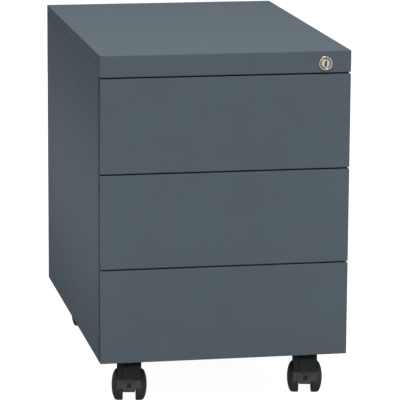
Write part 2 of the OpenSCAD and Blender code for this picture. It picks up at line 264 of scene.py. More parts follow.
def dust_and_painted_light(name, colour, dust_and_light_colour, gloss, roughness, grain_height, dust_and_light_levels):
    """Moulded plastic, lighter low down as painted light and darker higher up as painted shade, with the
    lighter tone broken into clouds like dust. Each level is a height and its share of the lighter colour.
    """
    shade = Shader(name, IOR=1.3, Specular_IOR_Level=gloss)
    axes = shade.node("ShaderNodeSeparateXYZ")
    shade.link(shade.place, axes.inputs["Vector"])
    top = dust_and_light_levels[-1][0]
    # Share of the lighter colour by height: painted light on the lit band, painted shade higher up
    share = shade.node("ShaderNodeValToRGB")
    stops = share.color_ramp.elements
    for z, _ in dust_and_light_levels[1:-1]:
        stops.new(z / top)
    for stop, (z, level) in zip(stops, dust_and_light_levels):
        stop.position, stop.color = z / top, (level, level, level, 1)
    shade.link(shade.between(axes.outputs["Z"], 0, 1, 0, top), share.inputs["Fac"])
    cloud = shade.noise(160, detail=4)
    grain = shade.noise(1900, detail=2)
    # Painted light by height, broken up by the clouds
    haze_and_light = shade.node("ShaderNodeMath", operation="MULTIPLY")
    shade.link(share.outputs["Color"], haze_and_light.inputs[0])
    shade.link(shade.between(cloud, 0.75, 1.0), haze_and_light.inputs[1])
    return shade.finish(
        shade.ramp(haze_and_light.outputs["Value"], colour, dust_and_light_colour, 0.0, 1.0),
        shade.between(grain, roughness - 0.05, roughness + 0.05),
        shade.bump(grain, grain_height),
    )


# Heights over the floor, each with its share of the lighter colour: painted light on the lit lower band
# and painted shade higher up, where the cabinet and the hood cast their shadow
HOOD_DUST_AND_LIGHT = ((0, 0.8), (30 * MM, 1.0), (38 * MM, 0.85), (41 * MM, 0.25), (60 * MM, 0.1))
WHEEL_DUST_AND_LIGHT = ((0, 0.5), (12 * MM, 0.6), (24 * MM, 0.8), (36 * MM, 0.7), (52 * MM, 0.2))
ANTHRACITE = (0.0895, 0.1115, 0.1295)
BLACK = (0.007, 0.007, 0.007)
# Lighter tones of the castor plastics, part dust and part painted light and sheen
HOOD_HAZE_AND_LIGHT = (0.074, 0.074, 0.074)
WHEEL_HAZE_AND_LIGHT = (0.055, 0.055, 0.055)
MATERIALS = {
    "cabinet_paint": powder_coat("cabinet_paint", ANTHRACITE),
    "tray_paint": powder_coat("tray_paint", scaled(ANTHRACITE, 0.97)),
    "zinc_steel": zinc_plate("zinc_steel", (0.62, 0.63, 0.62)),
    "lock_nickel": nickel_plate("lock_nickel", (0.3, 0.295, 0.275)),
    # Both castor plastics carry painted light and shade by height
    "castor_plastic": dust_and_painted_light("castor_plastic", BLACK, HOOD_HAZE_AND_LIGHT, 0.3, 0.55, 0.02 * MM, HOOD_DUST_AND_LIGHT),
    "wheel_plastic": dust_and_painted_light("wheel_plastic", BLACK, WHEEL_HAZE_AND_LIGHT, 0.3, 0.6, 0.012 * MM, WHEEL_DUST_AND_LIGHT),
    "guide_plastic": moulded("guide_plastic", (0.02, 0.02, 0.021), 0.5, 0.02 * MM),
    "rubber_buffer": moulded("rubber_buffer", (0.012, 0.012, 0.012), 0.7, 0.03 * MM),
}
PLUG_NICKEL = nickel_plate("lock_plug_nickel", (0.385, 0.335, 0.28))
NODE_SLOT = {part["node"]: part["material_slot"] for part in frame["record"]["subparts"]}


# ---------- pieces ----------


def add_detail(name, mesh, beside):
    """Puts a mesh in the scene, on the body and in the finish of a CAD node."""
    obj = bpy.data.objects.new(name, mesh)
    bpy.context.scene.collection.objects.link(obj)
    slot = NODE_SLOT[beside]
    mesh.materials.clear()
    mesh.materials.append(MATERIALS[slot])
    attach(obj, frame["nodes"][beside]["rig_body"])
    return obj


def add_piece(name, mesh, node):
    """Puts a mesh in the scene as the piece that is shown for a CAD node."""
    obj = add_detail(name, mesh, node)
    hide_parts(node)
    return obj


def mesh_of(name, bm, place=None):
    """Mesh with smooth faces from bm, which it frees."""
    if place:
        bm.transform(place)
    mesh = bpy.data.meshes.new(name)
    bm.to_mesh(mesh)
    bm.free()
    mesh.shade_smooth()
    return mesh


def ease(obj, width, segments=2, angle=35):
    """Rounds an object's sharp edges and keeps its flat faces flat."""
    edge = obj.modifiers.new("eased edges", "BEVEL")
    edge.width = width
    edge.segments = segments
    edge.limit_method = "ANGLE"
    edge.angle_limit = math.radians(angle)
    obj.modifiers.new("flat faces", "WEIGHTED_NORMAL").keep_sharp = True
    return obj


# ---------- folded sheet metal ----------


def face(axis, way, at, outline):
    """Flat face square to an axis, looking to its plus or minus side, outlined in the other two."""
    first, second = [a for a in (X, Y, Z) if a != axis]
    points = []
    for u, v in outline:
        point = Vector()
        point[axis], point[first], point[second] = at, u, v
        points.append(point)
    outward = Vector()
    outward[axis] = way
    return facing(points, outward)


def facing(points, outward):
    """The points in the order that makes their face look outward."""
    normal = Vector()
    for a, b in zip(points, points[1:] + points[:1]):
        normal += a.cross(b)
    return points if normal.dot(outward) > 0 else points[::-1]


def corners_of(us, vs):
    """Outline of a rectangle."""
    return [(us[0], vs[0]), (us[1], vs[0]), (us[1], vs[1]), (us[0], vs[1])]


def rect(axis, way, at, us, vs):
    return face(axis, way, at, corners_of(us, vs))


def folded(name, faces):
    """Mesh of a sheet's outer faces, joined where their edges meet, with every square fold rounded."""
    near = 0.01 * MM
    points, keys, outlines = [], {}, []
    for corners in faces:
        outline = []
        for point in corners:
            key = tuple(round(c / near) for c in point)
            if key not in keys:
                keys[key] = len(points)
                points.append(point)
            outline.append(keys[key])
        outlines.append(outline)
    bm = bmesh.new()
    verts = [bm.verts.new(p) for p in points]
    for outline in outlines:
        whole = []
        for a, b in zip(outline, outline[1:] + outline[:1]):
            along = points[b] - points[a]
            between = []
            for i, point in enumerate(points):
                share = (point - points[a]).dot(along) / along.length_squared
                if 0.0001 < share < 0.9999 and (points[a] + along * share - point).length < near:
                    between.append((share, i))
            whole += [a] + [i for _, i in sorted(between)]
        bm.faces.new([verts[i] for i in whole])
    bm.normal_update()
    folds = [e for e in bm.edges if len(e.link_faces) == 2 and e.calc_face_angle() > math.radians(75)]
    bmesh.ops.bevel(
        bm, geom=folds, offset=FOLD, offset_type="OFFSET", segments=5,
        profile=0.5, affect="EDGES", clamp_overlap=True,
    )
    return mesh_of(name, bm)


def add_sheet(name, faces, node):
    """Folded sheet with its thickness inside the faces given."""
    obj = add_piece(name, folded(name, faces), node)
    solid = obj.modifiers.new("sheet thickness", "SOLIDIFY")
    solid.thickness = SHEET
    solid.offset = -1
    solid.use_even_offset = True
    return ease(obj, RAW_EDGE)


def applied(obj):
    """New mesh of an object as its modifiers leave it."""
    bpy.context.view_layer.update()
    shown = obj.evaluated_get(bpy.context.evaluated_depsgraph_get())
    return bpy.data.meshes.new_from_object(shown)


def cut_sheet(sheet, cutter):
    """Makes a folded sheet solid and cuts the cutter out of it."""
    sheet.modifiers.remove(sheet.modifiers["flat faces"])
    sheet.modifiers.remove(sheet.modifiers["eased edges"])
    whole = applied(sheet)
    sheet.modifiers.clear()
    sheet.data = combined(whole, "DIFFERENCE", [cutter])
    ease(sheet, RAW_EDGE)


def weld_marks(places):
    """Shallow round dents of spot welds, to be cut out. Each place's Z axis looks out of the sheet."""
    profile = [
        (0, -WELD_DEPTH), (WELD_R * 0.55, -WELD_DEPTH * 0.95), (WELD_R * 0.8, -WELD_DEPTH * 0.6),
        (WELD_R, 0), (WELD_R, 1 * MM), (0, 1 * MM),
    ]
    return gathered("weld marks", [turned(profile, 24)], places)


def make_top_cover():
    lo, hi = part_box("top_cover")
    step_y = CARCASS_Y - 0.3 * MM
    skirt_z = hi.z - COVER_DROP
    across = (lo.x, hi.x)
    faces = [
        rect(Z, 1, hi.z, across, (lo.y, hi.y)),
        rect(Y, -1, lo.y, across, (lo.z, hi.z)),
        rect(Z, -1, lo.z, across, (lo.y, step_y)),
        rect(Y, 1, hi.y, across, (skirt_z, hi.z)),
    ]
    for s in SIDES.values():
        outline = [
            (lo.y, lo.z), (step_y, lo.z), (step_y, skirt_z),
            (hi.y, skirt_z), (hi.y, hi.z), (lo.y, hi.z),
        ]
        faces.append(face(X, s, s * hi.x, outline))
    cover = add_sheet("cover_sheet", faces, "top_cover")
    cut_sheet(cover, rod(HOUSING_R + 0.1 * MM, (-5 * MM, 5 * MM), 72, LOCK_PLACE))


def make_sides():
    r = RELIEF
    for side, s in SIDES.items():
        lo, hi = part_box("side_panel_" + side)
        front, rear = lo.y, hi.y
        outer = max(abs(lo.x), abs(hi.x))
        flange_in = min(abs(lo.x), abs(hi.x))
        rear_in = outer - SHEET - EDGE_FLANGE
        seam_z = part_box("top_cover")[1].z - COVER_DROP - SEAM
        lap = outer - 1.05 * MM
        lap_z = seam_z + 0.5 * MM
        wall = [
            (front, lo.z + r), (front + r, lo.z + r), (front + r, lo.z),
            (rear - r, lo.z), (rear - r, lo.z + r), (rear, lo.z + r),
            (rear, seam_z - r), (rear - r, seam_z - r), (rear - r, seam_z),
            (front + r, seam_z), (front + r, seam_z - r), (front, seam_z - r),
        ]
        shoulder = outer - 1.3 * MM
        flange_top = hi.z - 0.2 * MM
        flange = [
            (s * outer, lo.z + r), (s * outer, seam_z - r), (s * shoulder, seam_z - r),
            (s * shoulder, flange_top), (s * flange_in, flange_top), (s * flange_in, lo.z + r),
        ]
        slope = [
            Vector((s * outer, front + r, seam_z)), Vector((s * outer, rear - r, seam_z)),
            Vector((s * lap, rear - r, lap_z)), Vector((s * lap, front + r, lap_z)),
        ]
        faces = [
            face(X, s, s * outer, wall),
            face(Y, -1, front, flange),
            rect(Y, 1, rear, (s * rear_in, s * outer), (lo.z + r, seam_z - r)),
            rect(Z, -1, lo.z, (s * rear_in, s * outer), (front + r, rear - r)),
            facing(slope, Vector((s, 0, 1))),
            rect(X, s, s * lap, (front + r, rear - r), (lap_z, hi.z - 0.1 * MM)),
        ]
        sheet = add_sheet("side_sheet_" + side, faces, "side_panel_" + side)
        weld_x = s * (outer - SHEET - EDGE_FLANGE / 2)
        marks = []
        for k in range(WELDS):
            share = (k + 0.5) / WELDS
            rear_spot = Vector((weld_x, rear, lo.z + (seam_z - lo.z) * share))
            low_spot = Vector((weld_x, front + (rear - front) * share, lo.z))
            marks.append(Matrix.Translation(rear_spot) @ turn_about("X", -90))
            marks.append(Matrix.Translation(low_spot) @ turn_about("X", 180))
        cut_sheet(sheet, weld_marks(marks))


def make_back():
    lo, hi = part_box("back_panel")
    gap = 0.02 * MM
    add_sheet("back_sheet", [rect(Y, 1, hi.y - gap, (lo.x, hi.x), (lo.z, hi.z - gap))], "back_panel")


def make_base():
    lo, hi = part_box("base_panel")
    side_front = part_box("side_panel_right")[0]
    half = hi.x - 0.1 * MM
    lip_half = side_front.x - 0.3 * MM
    z = lo.z + SHEET + 0.03 * MM
    front, rear = lo.y, hi.y - 0.02 * MM
    r = RELIEF
    outline = [
        (-lip_half, front), (lip_half, front), (lip_half, front + r), (half, front + r),
        (half, rear - r), (lip_half, rear - r), (lip_half, rear), (-lip_half, rear),
        (-lip_half, rear - r), (-half, rear - r), (-half, front + r), (-lip_half, front + r),
    ]
    faces = [
        face(Z, -1, z, outline),
        rect(Y, -1, front, (-lip_half, lip_half), (z, hi.z)),
        rect(Y, 1, rear, (-lip_half, lip_half), (z, hi.z)),
    ]
    add_sheet("base_sheet", faces, "base_panel")


def make_drawer_front(n):
    lo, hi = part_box(f"drawer_front_{n}")
    pan_lo, pan_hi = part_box(f"front_pan_{n}")
    half = hi.x
    fold_half = half - GRIP_W
    hem_y = lo.y + GRIP_HEM
    r = RELIEF
    faces = [
        rect(Y, -1, lo.y, (-half, half), (lo.z, hi.z)),
        rect(Z, 1, hi.z, (-half, half), (lo.y, hi.y)),
        rect(Z, -1, lo.z, (-half, half), (lo.y, hi.y)),
    ]
    for s in SIDES.values():
        outline = [
            (lo.y, lo.z), (hem_y - r, lo.z), (hem_y - r, lo.z + r), (hem_y, lo.z + r),
            (hem_y, hi.z - r), (hem_y - r, hi.z - r), (hem_y - r, hi.z), (lo.y, hi.z),
        ]
        faces.append(face(X, s, s * half, outline))
        faces.append(rect(Y, 1, hem_y, (s * (half - HEM_W), s * half), (lo.z + r, hi.z - r)))
    add_sheet(f"drawer_{n}_face_sheet", faces, f"drawer_front_{n}")

    gap = 0.05 * MM
    heights = (pan_lo.z + gap, pan_hi.z - gap)
    plate_y = pan_hi.y
    faces = [rect(Y, 1, plate_y, (pan_lo.x, pan_hi.x), heights)]
    for s in SIDES.values():
        wall = (lo.y + SHEET + gap, plate_y - SHEET + gap)
        faces.append(rect(X, s, s * fold_half, wall, heights))
    add_sheet(f"drawer_{n}_back_sheet", faces, f"front_pan_{n}")


def make_tray(n):
    lo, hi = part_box(f"drawer_tray_{n}")
    y0, y1 = lo.y + 0.02 * MM, hi.y
    r = RELIEF
    half, hem = hi.x, hi.x - TRAY_HEM
    outline = [
        (-half, y0 + r), (-half, y1), (half, y1), (half, y0 + r),
        (half - r, y0 + r), (half - r, y0), (-half + r, y0), (-half + r, y0 + r),
    ]
    faces = [
        face(Z, -1, lo.z, outline),
        rect(Y, 1, y1, (-half, half), (lo.z, hi.z - r)),
    ]
    for s in SIDES.values():
        outline = [
            (y0 + r, lo.z), (y0 + r, lo.z + r), (y0, lo.z + r), (y0, hi.z - r), (y0 + r, hi.z - r),
            (y0 + r, hi.z), (y1 - r, hi.z), (y1 - r, hi.z - r), (y1, hi.z - r), (y1, lo.z),
        ]
        faces.append(face(X, s, s * half, outline))
        faces.append(rect(Z, 1, hi.z, (s * hem, s * half), (y0 + r, y1 - r)))
        faces.append(rect(Y, -1, y0, (s * hem, s * half), (lo.z + r, hi.z - r)))
    add_sheet(f"drawer_{n}_tray_sheet", faces, f"drawer_tray_{n}")


# ---------- profiles ----------


def rounded(path, radius, steps=5, closed=False):
    """A path in a plane with its corners rounded."""
    points = [Vector(p).to_2d() for p in path]
    made = []
    for i, corner in enumerate(points):
        if not closed and i in (0, len(points) - 1):
            made.append(corner)
            continue
        before, after = points[i - 1], points[(i + 1) % len(points)]
        back, ahead = (before - corner).normalized(), (after - corner).normalized()
        half_angle = back.angle(ahead) / 2
        if half_angle > math.radians(89):
            made.append(corner)
            continue
        centre = corner + (back + ahead).normalized() * (radius / math.sin(half_angle))
        start = corner + back * (radius / math.tan(half_angle))
        sweep = (math.pi - 2 * half_angle) * (1 if back.cross(ahead) < 0 else -1)
        for k in range(steps + 1):
            turn = Matrix.Rotation(sweep * k / steps, 2)
            made.append(centre + turn @ (start - centre))
    return made


def strip(path, thickness):
    """Closed outline of a strip with that thickness on the left of its path."""
    inner = []
    for i, point in enumerate(path):
        before = path[max(i - 1, 0)]
        after = path[min(i + 1, len(path) - 1)]
        runs = [b - a for a, b in ((before, point), (point, after)) if (b - a).length > 0]
        sides = [run.orthogonal().normalized() for run in runs]
        mean = sum(sides, Vector((0, 0))).normalized()
        inner.append(point + mean * (thickness / mean.dot(sides[0])))
    return path + inner[::-1]


def prism(bm, outline, axis, start, end):
    """Adds a closed solid to bm: an outline in the other two axes, drawn out along an axis."""
    first, second = [a for a in (X, Y, Z) if a != axis]
    rings = []
    for at in (start, end):
        ring = []
        for u, v in outline:
            point = Vector()
            point[axis], point[first], point[second] = at, u, v
            ring.append(bm.verts.new(point))
        rings.append(ring)
    made = [bm.faces.new(rings[0]), bm.faces.new(rings[1][::-1])]
    count = len(outline)
    for i in range(count):
        j = (i + 1) % count
        made.append(bm.faces.new((rings[0][j], rings[0][i], rings[1][i], rings[1][j])))
    bmesh.ops.recalc_face_normals(bm, faces=made)


def lathe(bm, profile, steps=72):
    """Adds a closed solid to bm: an outline of (radius, height) turned about the Z axis."""
    rings = []
    for radius, height in profile:
        turns = [math.tau * k / steps for k in range(steps if radius > 0.001 * MM else 1)]
        rings.append([bm.verts.new((radius * math.cos(a), radius * math.sin(a), height)) for a in turns])
    made = []
    for low, high in zip(rings, rings[1:] + rings[:1]):
        for k in range(steps):
            j = (k + 1) % steps
            corners = (low[k % len(low)], low[j % len(low)], high[j % len(high)], high[k % len(high)])
            corners = list(dict.fromkeys(corners))
            if len(corners) > 2:
                made.append(bm.faces.new(corners))
    bmesh.ops.recalc_face_normals(bm, faces=made)


def turned(profile, steps=72, place=None):
    """Mesh of a turned solid."""
    bm = bmesh.new()
    lathe(bm, profile, steps)
    return mesh_of("turned", bm, place)


def rod(radius, run, steps, place=None):
    """Mesh of a plain round rod along Z, mostly to join to another solid or to bore one with."""
    return turned(corners_of((0, radius), run), steps, place)


def block(outline, axis, start, end, round_over=0.0, segments=3):
    """Mesh of a solid drawn out along an axis, with its sharp edges rounded."""
    bm = bmesh.new()
    prism(bm, outline, axis, start, end)
    if round_over:
        sharp = [e for e in bm.edges if e.calc_face_angle() > math.radians(40)]
        bmesh.ops.bevel(
            bm, geom=sharp, offset=round_over, offset_type="OFFSET", segments=segments,
            profile=0.5, affect="EDGES", clamp_overlap=True,
        )
    return mesh_of("block", bm)


def combined(mesh, operation, others):
    """The mesh with the others' solids joined to it ("UNION") or cut out of it ("DIFFERENCE")."""
    links = bpy.context.scene.collection.objects
    base = bpy.data.objects.new("base", mesh)
    links.link(base)
    tools = []
    for other in others:
        tool = bpy.data.objects.new("tool", other)
        links.link(tool)
        tools.append(tool)
        step = base.modifiers.new("step", "BOOLEAN")
        step.operation = operation
        step.solver = "EXACT"
        step.object = tool
    done = applied(base)
    for obj in [base] + tools:
        bpy.data.objects.remove(obj)
    done.shade_smooth()
    done.set_sharp_from_angle(angle=math.radians(32))
    return done


def moulded_solid(mesh, voxel, passes, kept):
    """The solid with every edge softened as in a moulding. It keeps that share of its fine faces."""
    base = bpy.data.objects.new("base", mesh)
    bpy.context.scene.collection.objects.link(base)
    skin = base.modifiers.new("skin", "REMESH")
    skin.mode = "VOXEL"
    skin.voxel_size = voxel
    soft = base.modifiers.new("soft", "SMOOTH")
    soft.factor = 0.5
    soft.iterations = passes
    base.modifiers.new("fewer", "DECIMATE").ratio = kept
    done = applied(base)
    bpy.data.objects.remove(base)
    done.shade_smooth()
    return done


def gathered(name, meshes, places):
    """One mesh of all the meshes at all the places."""
    bm = bmesh.new()
    for place in places:
        for mesh in meshes:
            copy = mesh.copy()
            copy.transform(place)
            bm.from_mesh(copy)
            bpy.data.meshes.remove(copy)
    return mesh_of(name, bm)


def arc(centre, radius, start, end, steps=10):
    """Points of an arc in a plane, its angles in degrees."""
    turns = [math.radians(start + (end - start) * k / steps) for k in range(steps + 1)]
    return [(centre[0] + radius * math.cos(a), centre[1] + radius * math.sin(a)) for a in turns]


def channel(bm, s, web_x, flange_x, heights, run, thickness=SLIDE_T, bend=RACE):
    """Adds a slide member or a ball strip to bm: a web at web_x, both flanges turned to flange_x."""
    path = [(flange_x, heights[0]), (web_x, heights[0]), (web_x, heights[1]), (flange_x, heights[1])]
    curved = rounded([(s * x, z) for x, z in path], bend)
    outline = strip(curved, thickness)
    middle = (heights[0] + heights[1]) / 2
    inside = Vector((s * (web_x + flange_x) / 2, middle))
    if (outline[-1] - inside).length > (outline[0] - inside).length:
        outline = strip(curved, -thickness)
    prism(bm, outline, Y, *run)


def make_slides():
    for side, s in SIDES.items():
        bm = bmesh.new()
        lo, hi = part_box("slide_outers_" + side)
        outer, inner = max(abs(lo.x), abs(hi.x)), min(abs(lo.x), abs(hi.x))
        for n in DRAWERS:
            centre = slide_centre(n)
            heights = (centre - SLIDE_H / 2, centre + SLIDE_H / 2)
            channel(bm, s, outer, inner, heights, (lo.y, hi.y))
        members = mesh_of("slides", bm)
        ease(add_piece("slide_outer_members_" + side, members, "slide_outers_" + side), RAW_EDGE)
    for n in DRAWERS:
        for kind, node in (("middle", f"slide_middles_{n}"), ("inner", f"slide_inners_{n}")):
            lo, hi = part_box(node)
            bm = bmesh.new()
            for s in SIDES.values():
                if kind == "middle":
                    web, flange = hi.x, hi.x - 8 * MM
                else:
                    web, flange = hi.x - 7.3 * MM, hi.x
                channel(bm, s, web, flange, (lo.z, hi.z), (lo.y, hi.y))
            ease(add_piece(f"drawer_{n}_{kind}_members", mesh_of("slides", bm), node), RAW_EDGE)


# ---------- lock ----------


def make_lock_ring():
    """Housing with a rounded ring that stands proud of the fascia."""
    ring_y = -LOCK_PROUD
    tail_y = HOUSING_LEN - LOCK_PROUD
    bore_r = PLUG_R + 0.05 * MM
    # Radius and depth below the ring's face, in millimetres, from the plug's edge to the rim
    lip = [
        (7.5, 1.25), (7.75, 0.75), (8.1, 0.35), (8.6, 0.1), (9.3, 0), (10.1, 0.03), (10.7, 0.2),
        (11.15, 0.55), (11.36, 0.95),
    ]
    profile = [(r * MM, ring_y + a * MM) for r, a in lip]
    profile += [
        (LOCK_RING_R, ring_y + 1.3 * MM), (LOCK_RING_R, 0), (HOUSING_R, 0),
        (HOUSING_R, tail_y), (bore_r, tail_y),
    ]
    ring = add_piece("lock_ring_and_housing", turned(profile, 96, LOCK_PLACE), "lock_housing")
    ease(ring, 0.15 * MM)


def at_lock(points):
    """Points in millimetres about the lock's axis, as an outline in X and Z."""
    return [(LOCK_AT.x + x * MM, LOCK_AT.z + z * MM) for x, z in points]


def make_lock_plug():
    """Plug with its square tail, bore and keyway, and a dust shutter in the keyway whose dark plastic
    also stands in for the keyway's shade.
    """
    lo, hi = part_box("lock_plug")
    tail_y = LOCK_AT.y + HOUSING_LEN - LOCK_PROUD
    face_a = lo.y - LOCK_AT.y
    profile = [
        (0, face_a), (6.3 * MM, face_a), (6.8 * MM, face_a + 0.1 * MM), (7.2 * MM, face_a + 0.4 * MM),
        (PLUG_R, face_a + 0.95 * MM), (PLUG_R, tail_y - LOCK_AT.y), (0, tail_y - LOCK_AT.y),
    ]
    plug = turned(profile, 96, LOCK_PLACE)
    square_tail = at_lock(corners_of((-3.5, 3.5), (-3.5, 3.5)))
    tail = block(square_tail, Y, tail_y - 1 * MM, hi.y, 0.3 * MM)
    keyway = [
        (-0.5, 4.5), (1.8, 4.5), (1.8, 0.9), (1.3, 0.5), (1.3, -1.9), (1.7, -2.3), (1.7, -3.4),
        (1.3, -3.8), (1.3, -4.8), (-1.9, -4.8), (-1.9, 1.6), (-0.5, 1.6),
    ]
    slot = block(at_lock(keyway), Y, lo.y - 2 * MM, lo.y + 11 * MM)
    tail_end = Matrix.Translation((0, hi.y - LOCK_AT.y, 0)) @ LOCK_PLACE
    bore = rod(1.6 * MM, (-6 * MM, 2 * MM), 32, tail_end)
    whole = combined(combined(plug, "UNION", [tail]), "DIFFERENCE", [slot, bore])
    barrel = ease(add_piece("lock_plug_with_keyway", whole, "lock_plug"), 0.12 * MM)
    barrel.data.materials[0] = PLUG_NICKEL
    # A dark plastic leaf close behind the keyway's mouth, as painted shade in the keyway
    flap = at_lock(corners_of((-1.92, 1.92), (-4.9, 4.5)))
    leaf = block(flap, Y, lo.y + 2.2 * MM, lo.y + 2.8 * MM, 0.1 * MM)
    shutter = add_detail("lock_shutter_painted_shade", leaf, "lock_plug")
    shutter.data.materials[0] = MATERIALS["guide_plastic"]


# ---------- castors ----------


def wheel_mesh():
    """Wheel along Z, its domed side up: tread, dome with a hub cap, and a hollow ribbed inner side."""
    bore_r, bore_end = 3.05 * MM, 22.5 * MM
    hub_r, hollow_r, hollow_a = 8 * MM, 21.5 * MM, 17 * MM
    cap_r = 8.2 * MM
    dome = WHEEL_OUT - TREAD_OUT
    profile = [
        (bore_r, WHEEL_IN), (hub_r, WHEEL_IN), (hub_r, hollow_a), (hollow_r, hollow_a),
        (hollow_r, WHEEL_IN), (WHEEL_R - 1.6 * MM, WHEEL_IN), (WHEEL_R - 0.7 * MM, WHEEL_IN + 0.25 * MM),
        (WHEEL_R - 0.15 * MM, WHEEL_IN + 0.9 * MM), (WHEEL_R, WHEEL_IN + 1.8 * MM),
        (WHEEL_R, TREAD_OUT - 1.2 * MM), (WHEEL_R - 0.05 * MM, TREAD_OUT - 0.5 * MM),
        (WHEEL_R - 0.5 * MM, TREAD_OUT - 0.1 * MM), (WHEEL_R - 0.5 * MM, TREAD_OUT + 0.3 * MM),
    ]
    for k in range(2, 22):
        turn = math.radians(k * 4.5)
        radius, height = WHEEL_R * math.cos(turn), TREAD_OUT + dome * math.sin(turn)
        if radius < cap_r:
            break
        profile.append((radius, height))
    cap_a = WHEEL_OUT - 0.35 * MM
    profile += [
        (cap_r, cap_a - 0.15 * MM), (8.1 * MM, cap_a - 0.7 * MM), (7.6 * MM, cap_a - 0.7 * MM),
        (7.5 * MM, cap_a - 0.05 * MM), (7.1 * MM, cap_a + 0.12 * MM), (5 * MM, WHEEL_OUT - 0.12 * MM),
        (2.5 * MM, WHEEL_OUT - 0.03 * MM), (0, WHEEL_OUT), (0, bore_end), (bore_r, bore_end),
    ]
    rib_half, rib_count = 0.7 * MM, 8
    rib_outline = corners_of((-rib_half, rib_half), (hub_r - 0.5 * MM, hollow_r + 1 * MM))
    ribs = []
    for k in range(rib_count):
        rib = block(rib_outline, Z, WHEEL_IN + 1.5 * MM, hollow_a + 0.5 * MM)
        rib.transform(Matrix.Rotation(math.tau * k / rib_count, 4, "Z"))
        ribs.append(rib)
    return combined(turned(profile, 80), "UNION", ribs)


def wheel_turn(way):
    """From the axes of a wheel or rod along Z to a castor's own, its far end to the right or left."""
    return Matrix.Translation((0, 0, WHEEL_R)) @ turn_about("Y", 90 * way)


def hood_mesh(trail):
    """Castor's hood: front body, web and skirt, side wings with fenders, and the boss."""
    axle = (0, WHEEL_R)
    front_low, front = -27.5 * MM, -25.5 * MM
    wing_front = -23.5 * MM
    rear = trail + 16 * MM
    back = arc((rear - 8 * MM, HOOD_TOP - 8 * MM), 8 * MM, 90, 0)
    back += [(rear, STEP_Z + 8 * MM), (rear - 6 * MM, STEP_Z)]
    body_arc = arc((front + 9 * MM, HOOD_TOP - 9 * MM), 9 * MM, 180, 90)
    wing_arc = arc((wing_front + 5 * MM, HOOD_TOP - 5 * MM), 5 * MM, 180, 90)
    body = block([(front, STEP_Z - 1 * MM)] + body_arc + back, X, -WEB_HALF, WEB_HALF, 0.9 * MM)
    wings = block([(wing_front, STEP_Z)] + wing_arc + back, X, -WING_HALF, WING_HALF, 2.2 * MM, 4)
    fender_r = WHEEL_R + 3 * MM
    low = math.degrees(math.asin((STEP_Z - WHEEL_R) / fender_r))
    ring = arc(axle, fender_r, 180 - low, low, 40) + arc(axle, WHEEL_R, low, 180 - low, 40)
    fenders = block(ring, X, -WING_HALF + 0.6 * MM, WING_HALF - 0.6 * MM, 0.5 * MM)
    skirt_outline = [
        (front_low, SKIRT_Z), (front_low, STEP_Z - 1.2 * MM), (front_low + 1.2 * MM, STEP_Z),
        (-10 * MM, STEP_Z), (-10 * MM, SKIRT_Z),
    ]
    skirt = block(skirt_outline, X, -SKIRT_HALF, SKIRT_HALF, 0.9 * MM)
    past = 40 * MM
    room = (WEB_HALF - 0.5 * MM, past)
    wheel_rooms = [rod(WHEEL_R + 1.2 * MM, room, 96, wheel_turn(way)) for way in SIDES.values()]
    covering = combined(combined(wings, "UNION", [fenders, skirt]), "DIFFERENCE", wheel_rooms)
    web_r = WHEEL_R + 2.6 * MM
    web_low = 19 * MM
    cut_off = math.degrees(math.asin((WHEEL_R - web_low) / web_r))
    web_outline = [
        (front_low, STEP_Z - 1.2 * MM), (front_low + 1.2 * MM, STEP_Z), (12 * MM, STEP_Z + 3 * MM),
    ]
    web_outline += arc(axle, web_r, 20, -cut_off, 10) + arc(axle, web_r, 180 + cut_off, 180, 6)
    web = block(web_outline, X, -WEB_HALF, WEB_HALF, 0.7 * MM)
    swivel = Matrix.Translation((0, trail, 0))
    boss = rod(14 * MM, (43 * MM, BOSS_TOP), 72, swivel)
    whole = combined(web, "UNION", [body, covering, boss])
    square = corners_of((-3 * MM, 3 * MM), (26.5 * MM, 33.5 * MM))
    socket = block(rounded(square, 0.5 * MM, 3, True), Y, -past, front_low + 6 * MM)
    half = 7 * MM
    low_z, high_z = STEP_Z - 3.2 * MM, STEP_Z - 1.2 * MM
    groove_outline = [(-half, low_z), (half, low_z), (half - 1 * MM, high_z), (-half + 1 * MM, high_z)]
    groove = block(rounded(groove_outline, 0.5 * MM, 3, True), Y, -past, front_low + 1.2 * MM)
    stem_bore = rod(5.05 * MM, (46.5 * MM, 70 * MM), 48, swivel)
    axle_bore = rod(3 * MM, (-20 * MM, 20 * MM), 32, wheel_turn(1))
    cutters = [socket, groove, stem_bore, axle_bore]
    return moulded_solid(combined(whole, "DIFFERENCE", cutters), 0.35 * MM, 4, 0.16)


def castor_place(c):
    """Place of a castor's own axes: on the floor under its axle and turned as the castor stands."""
    axis = Vector(JOINTS["roll_outer_" + c]["axis"])
    ends = [Vector(JOINTS[f"roll_{end}_{c}"]["pos_m"]) for end in ("outer", "inner")]
    middle = (ends[0] + ends[1]) / 2
    turn = math.atan2(axis.y, axis.x)
    return Matrix.Translation((middle.x, middle.y, 0)) @ Matrix.Rotation(turn, 4, "Z")


def screw_mesh(head_r, head_t, shank_r, shank_len):
    """Pan-head screw that points up, with a cross recess in its head: the head's seat is at 0."""
    profile = [
        (0, -head_t), (head_r * 0.6, -head_t * 0.97), (head_r * 0.85, -head_t * 0.8),
        (head_r * 0.97, -head_t * 0.5), (head_r, -head_t * 0.15), (head_r * 0.97, 0),
        (shank_r, 0), (shank_r, shank_len - shank_r * 0.6), (shank_r * 0.5, shank_len), (0, shank_len),
    ]
    arm, half = head_r * 0.55, head_r * 0.11
    cross = []
    for u, v in ((arm, half), (half, arm)):
        cross.append(block(corners_of((-u, u), (-v, v)), Z, -head_t - 1 * MM, -head_t * 0.3))
    return combined(turned(profile, 32), "DIFFERENCE", cross)


